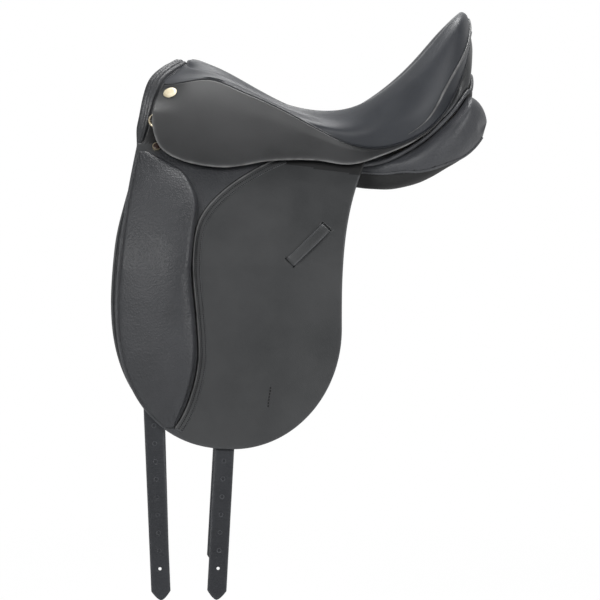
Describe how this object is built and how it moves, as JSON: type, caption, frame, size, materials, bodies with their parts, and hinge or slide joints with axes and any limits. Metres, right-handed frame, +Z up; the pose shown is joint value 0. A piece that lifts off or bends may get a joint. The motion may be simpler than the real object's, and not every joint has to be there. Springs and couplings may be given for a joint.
{
  "type": "dressage saddle",
  "caption": "Black leather dressage saddle with deep seat, long straight flaps, knee blocks, stuffed panels and long girth straps.",
  "frame": {"origin": "on the middle plane, level with the panels' bearing surface under the seat, about half way along the seat", "axes": "+X to the rear (cantle), +Y to the off (right) side, +Z up"},
  "size_m": [0.5319, 0.474, 0.8327],
  "materials": {
    "smooth_leather": "satin",
    "grained_leather": "fine grain",
    "strap_leather": "satin",
    "filled_leather": "leather over stuffing",
    "tree_wood": "laminated, varnished",
    "steel": "satin",
    "brass": "polished",
    "foam": "open foam",
    "webbing": "woven"
  },
  "bodies": {
    "saddle": {"tree_head": "tree_wood", "near_tree_rail": "tree_wood", "off_tree_rail": "tree_wood", "tree_cantle": "tree_wood", "gullet_plate": "steel", "gullet_rivets": "steel", "seat_webs": "webbing", "seat_foam": "foam", "seat_cover": "smooth_leather", "seat_welt": "smooth_leather", "cantle_facing": "smooth_leather", "pommel_facing": "filled_leather", "near_skirt_root": "smooth_leather", "off_skirt_root": "smooth_leather", "pommel_studs": "brass", "near_stirrup_bar": "steel", "off_stirrup_bar": "steel", "bar_rivets": "steel", "catch_pins": "steel", "near_panel": "filled_leather", "off_panel": "filled_leather", "panel_welt": "grained_leather", "channel_lining": "smooth_leather", "near_sweat_flap": "grained_leather", "off_sweat_flap": "grained_leather", "near_point_pocket": "grained_leather", "off_point_pocket": "grained_leather", "near_flap_root": "smooth_leather", "off_flap_root": "smooth_leather", "point_screws": "brass", "near_front_web": "webbing", "off_front_web": "webbing", "near_rear_web": "webbing", "off_rear_web": "webbing", "near_dee_chape": "strap_leather", "off_dee_chape": "strap_leather"},
    "near_flap": {"near_flap": "smooth_leather", "near_knee_block": "filled_leather", "near_knee_binding": "smooth_leather", "near_keeper": "strap_leather"},
    "near_skirt": {"near_skirt": "smooth_leather"},
    "near_front_billet": {"near_front_billet": "strap_leather"},
    "near_rear_billet": {"near_rear_billet": "strap_leather"},
    "near_dee": {"near_dee": "brass"},
    "near_bar_catch": {"near_bar_catch": "steel"},
    "off_flap": {"off_flap": "smooth_leather", "off_knee_block": "filled_leather", "off_knee_binding": "smooth_leather", "off_keeper": "strap_leather"},
    "off_skirt": {"off_skirt": "smooth_leather"},
    "off_front_billet": {"off_front_billet": "strap_leather"},
    "off_rear_billet": {"off_rear_billet": "strap_leather"},
    "off_dee": {"off_dee": "brass"},
    "off_bar_catch": {"off_bar_catch": "steel"}
  },
  "joints": [
    {"name": "near_flap_lift", "type": "hinge", "parent": "saddle", "child": "near_flap", "pos_m": [-0.102, -0.13927, 0.02675], "axis": [-0.9916, 0.0662, 0.1107], "range_deg": [0, 20]},
    {"name": "off_flap_lift", "type": "hinge", "parent": "saddle", "child": "off_flap", "pos_m": [-0.102, 0.13927, 0.02675], "axis": [0.9916, 0.0662, -0.1107], "range_deg": [0, 20]},
    {"name": "near_skirt_lift", "type": "hinge", "parent": "saddle", "child": "near_skirt", "pos_m": [-0.08006, -0.12569, 0.06723], "axis": [-0.9743, 0.1279, 0.1854], "range_deg": [0, 60]},
    {"name": "off_skirt_lift", "type": "hinge", "parent": "saddle", "child": "off_skirt", "pos_m": [-0.08006, 0.12569, 0.06723], "axis": [0.9743, 0.1279, -0.1854], "range_deg": [0, 60]},
    {"name": "near_dee_swing", "type": "hinge", "parent": "saddle", "child": "near_dee", "pos_m": [-0.232, -0.10447, 0.08479], "axis": [0, 0.5875, 0.8092], "range_deg": [0, 9]},
    {"name": "off_dee_swing", "type": "hinge", "parent": "saddle", "child": "off_dee", "pos_m": [-0.232, 0.10447, 0.08479], "axis": [0, 0.5875, -0.8092], "range_deg": [0, 9]},
    {"name": "near_catch_turn", "type": "hinge", "parent": "saddle", "child": "near_bar_catch", "pos_m": [-0.118, -0.1065, 0.073], "axis": [0, -1, 0], "range_deg": [0, 33]},
    {"name": "off_catch_turn", "type": "hinge", "parent": "saddle", "child": "off_bar_catch", "pos_m": [-0.118, 0.1065, 0.073], "axis": [0, -1, 0], "range_deg": [0, 33]},
    {"name": "near_front_billet_swing", "type": "hinge", "parent": "saddle", "child": "near_front_billet", "pos_m": [-0.245, -0.19611, -0.136], "axis": [0, 0.9976, -0.0698], "range_deg": [-2.5, 10]},
    {"name": "near_rear_billet_swing", "type": "hinge", "parent": "saddle", "child": "near_rear_billet", "pos_m": [-0.124, -0.19611, -0.136], "axis": [0, 0.9976, -0.0698], "range_deg": [-10, 2.5]},
    {"name": "off_front_billet_swing", "type": "hinge", "parent": "saddle", "child": "off_front_billet", "pos_m": [-0.245, 0.19611, -0.136], "axis": [0, 0.9976, 0.0698], "range_deg": [-3.4, 9.1]},
    {"name": "off_rear_billet_swing", "type": "hinge", "parent": "saddle", "child": "off_rear_billet", "pos_m": [-0.124, 0.19611, -0.136], "axis": [0, 0.9976, 0.0698], "range_deg": [-10, 2.5]}
  ]
}
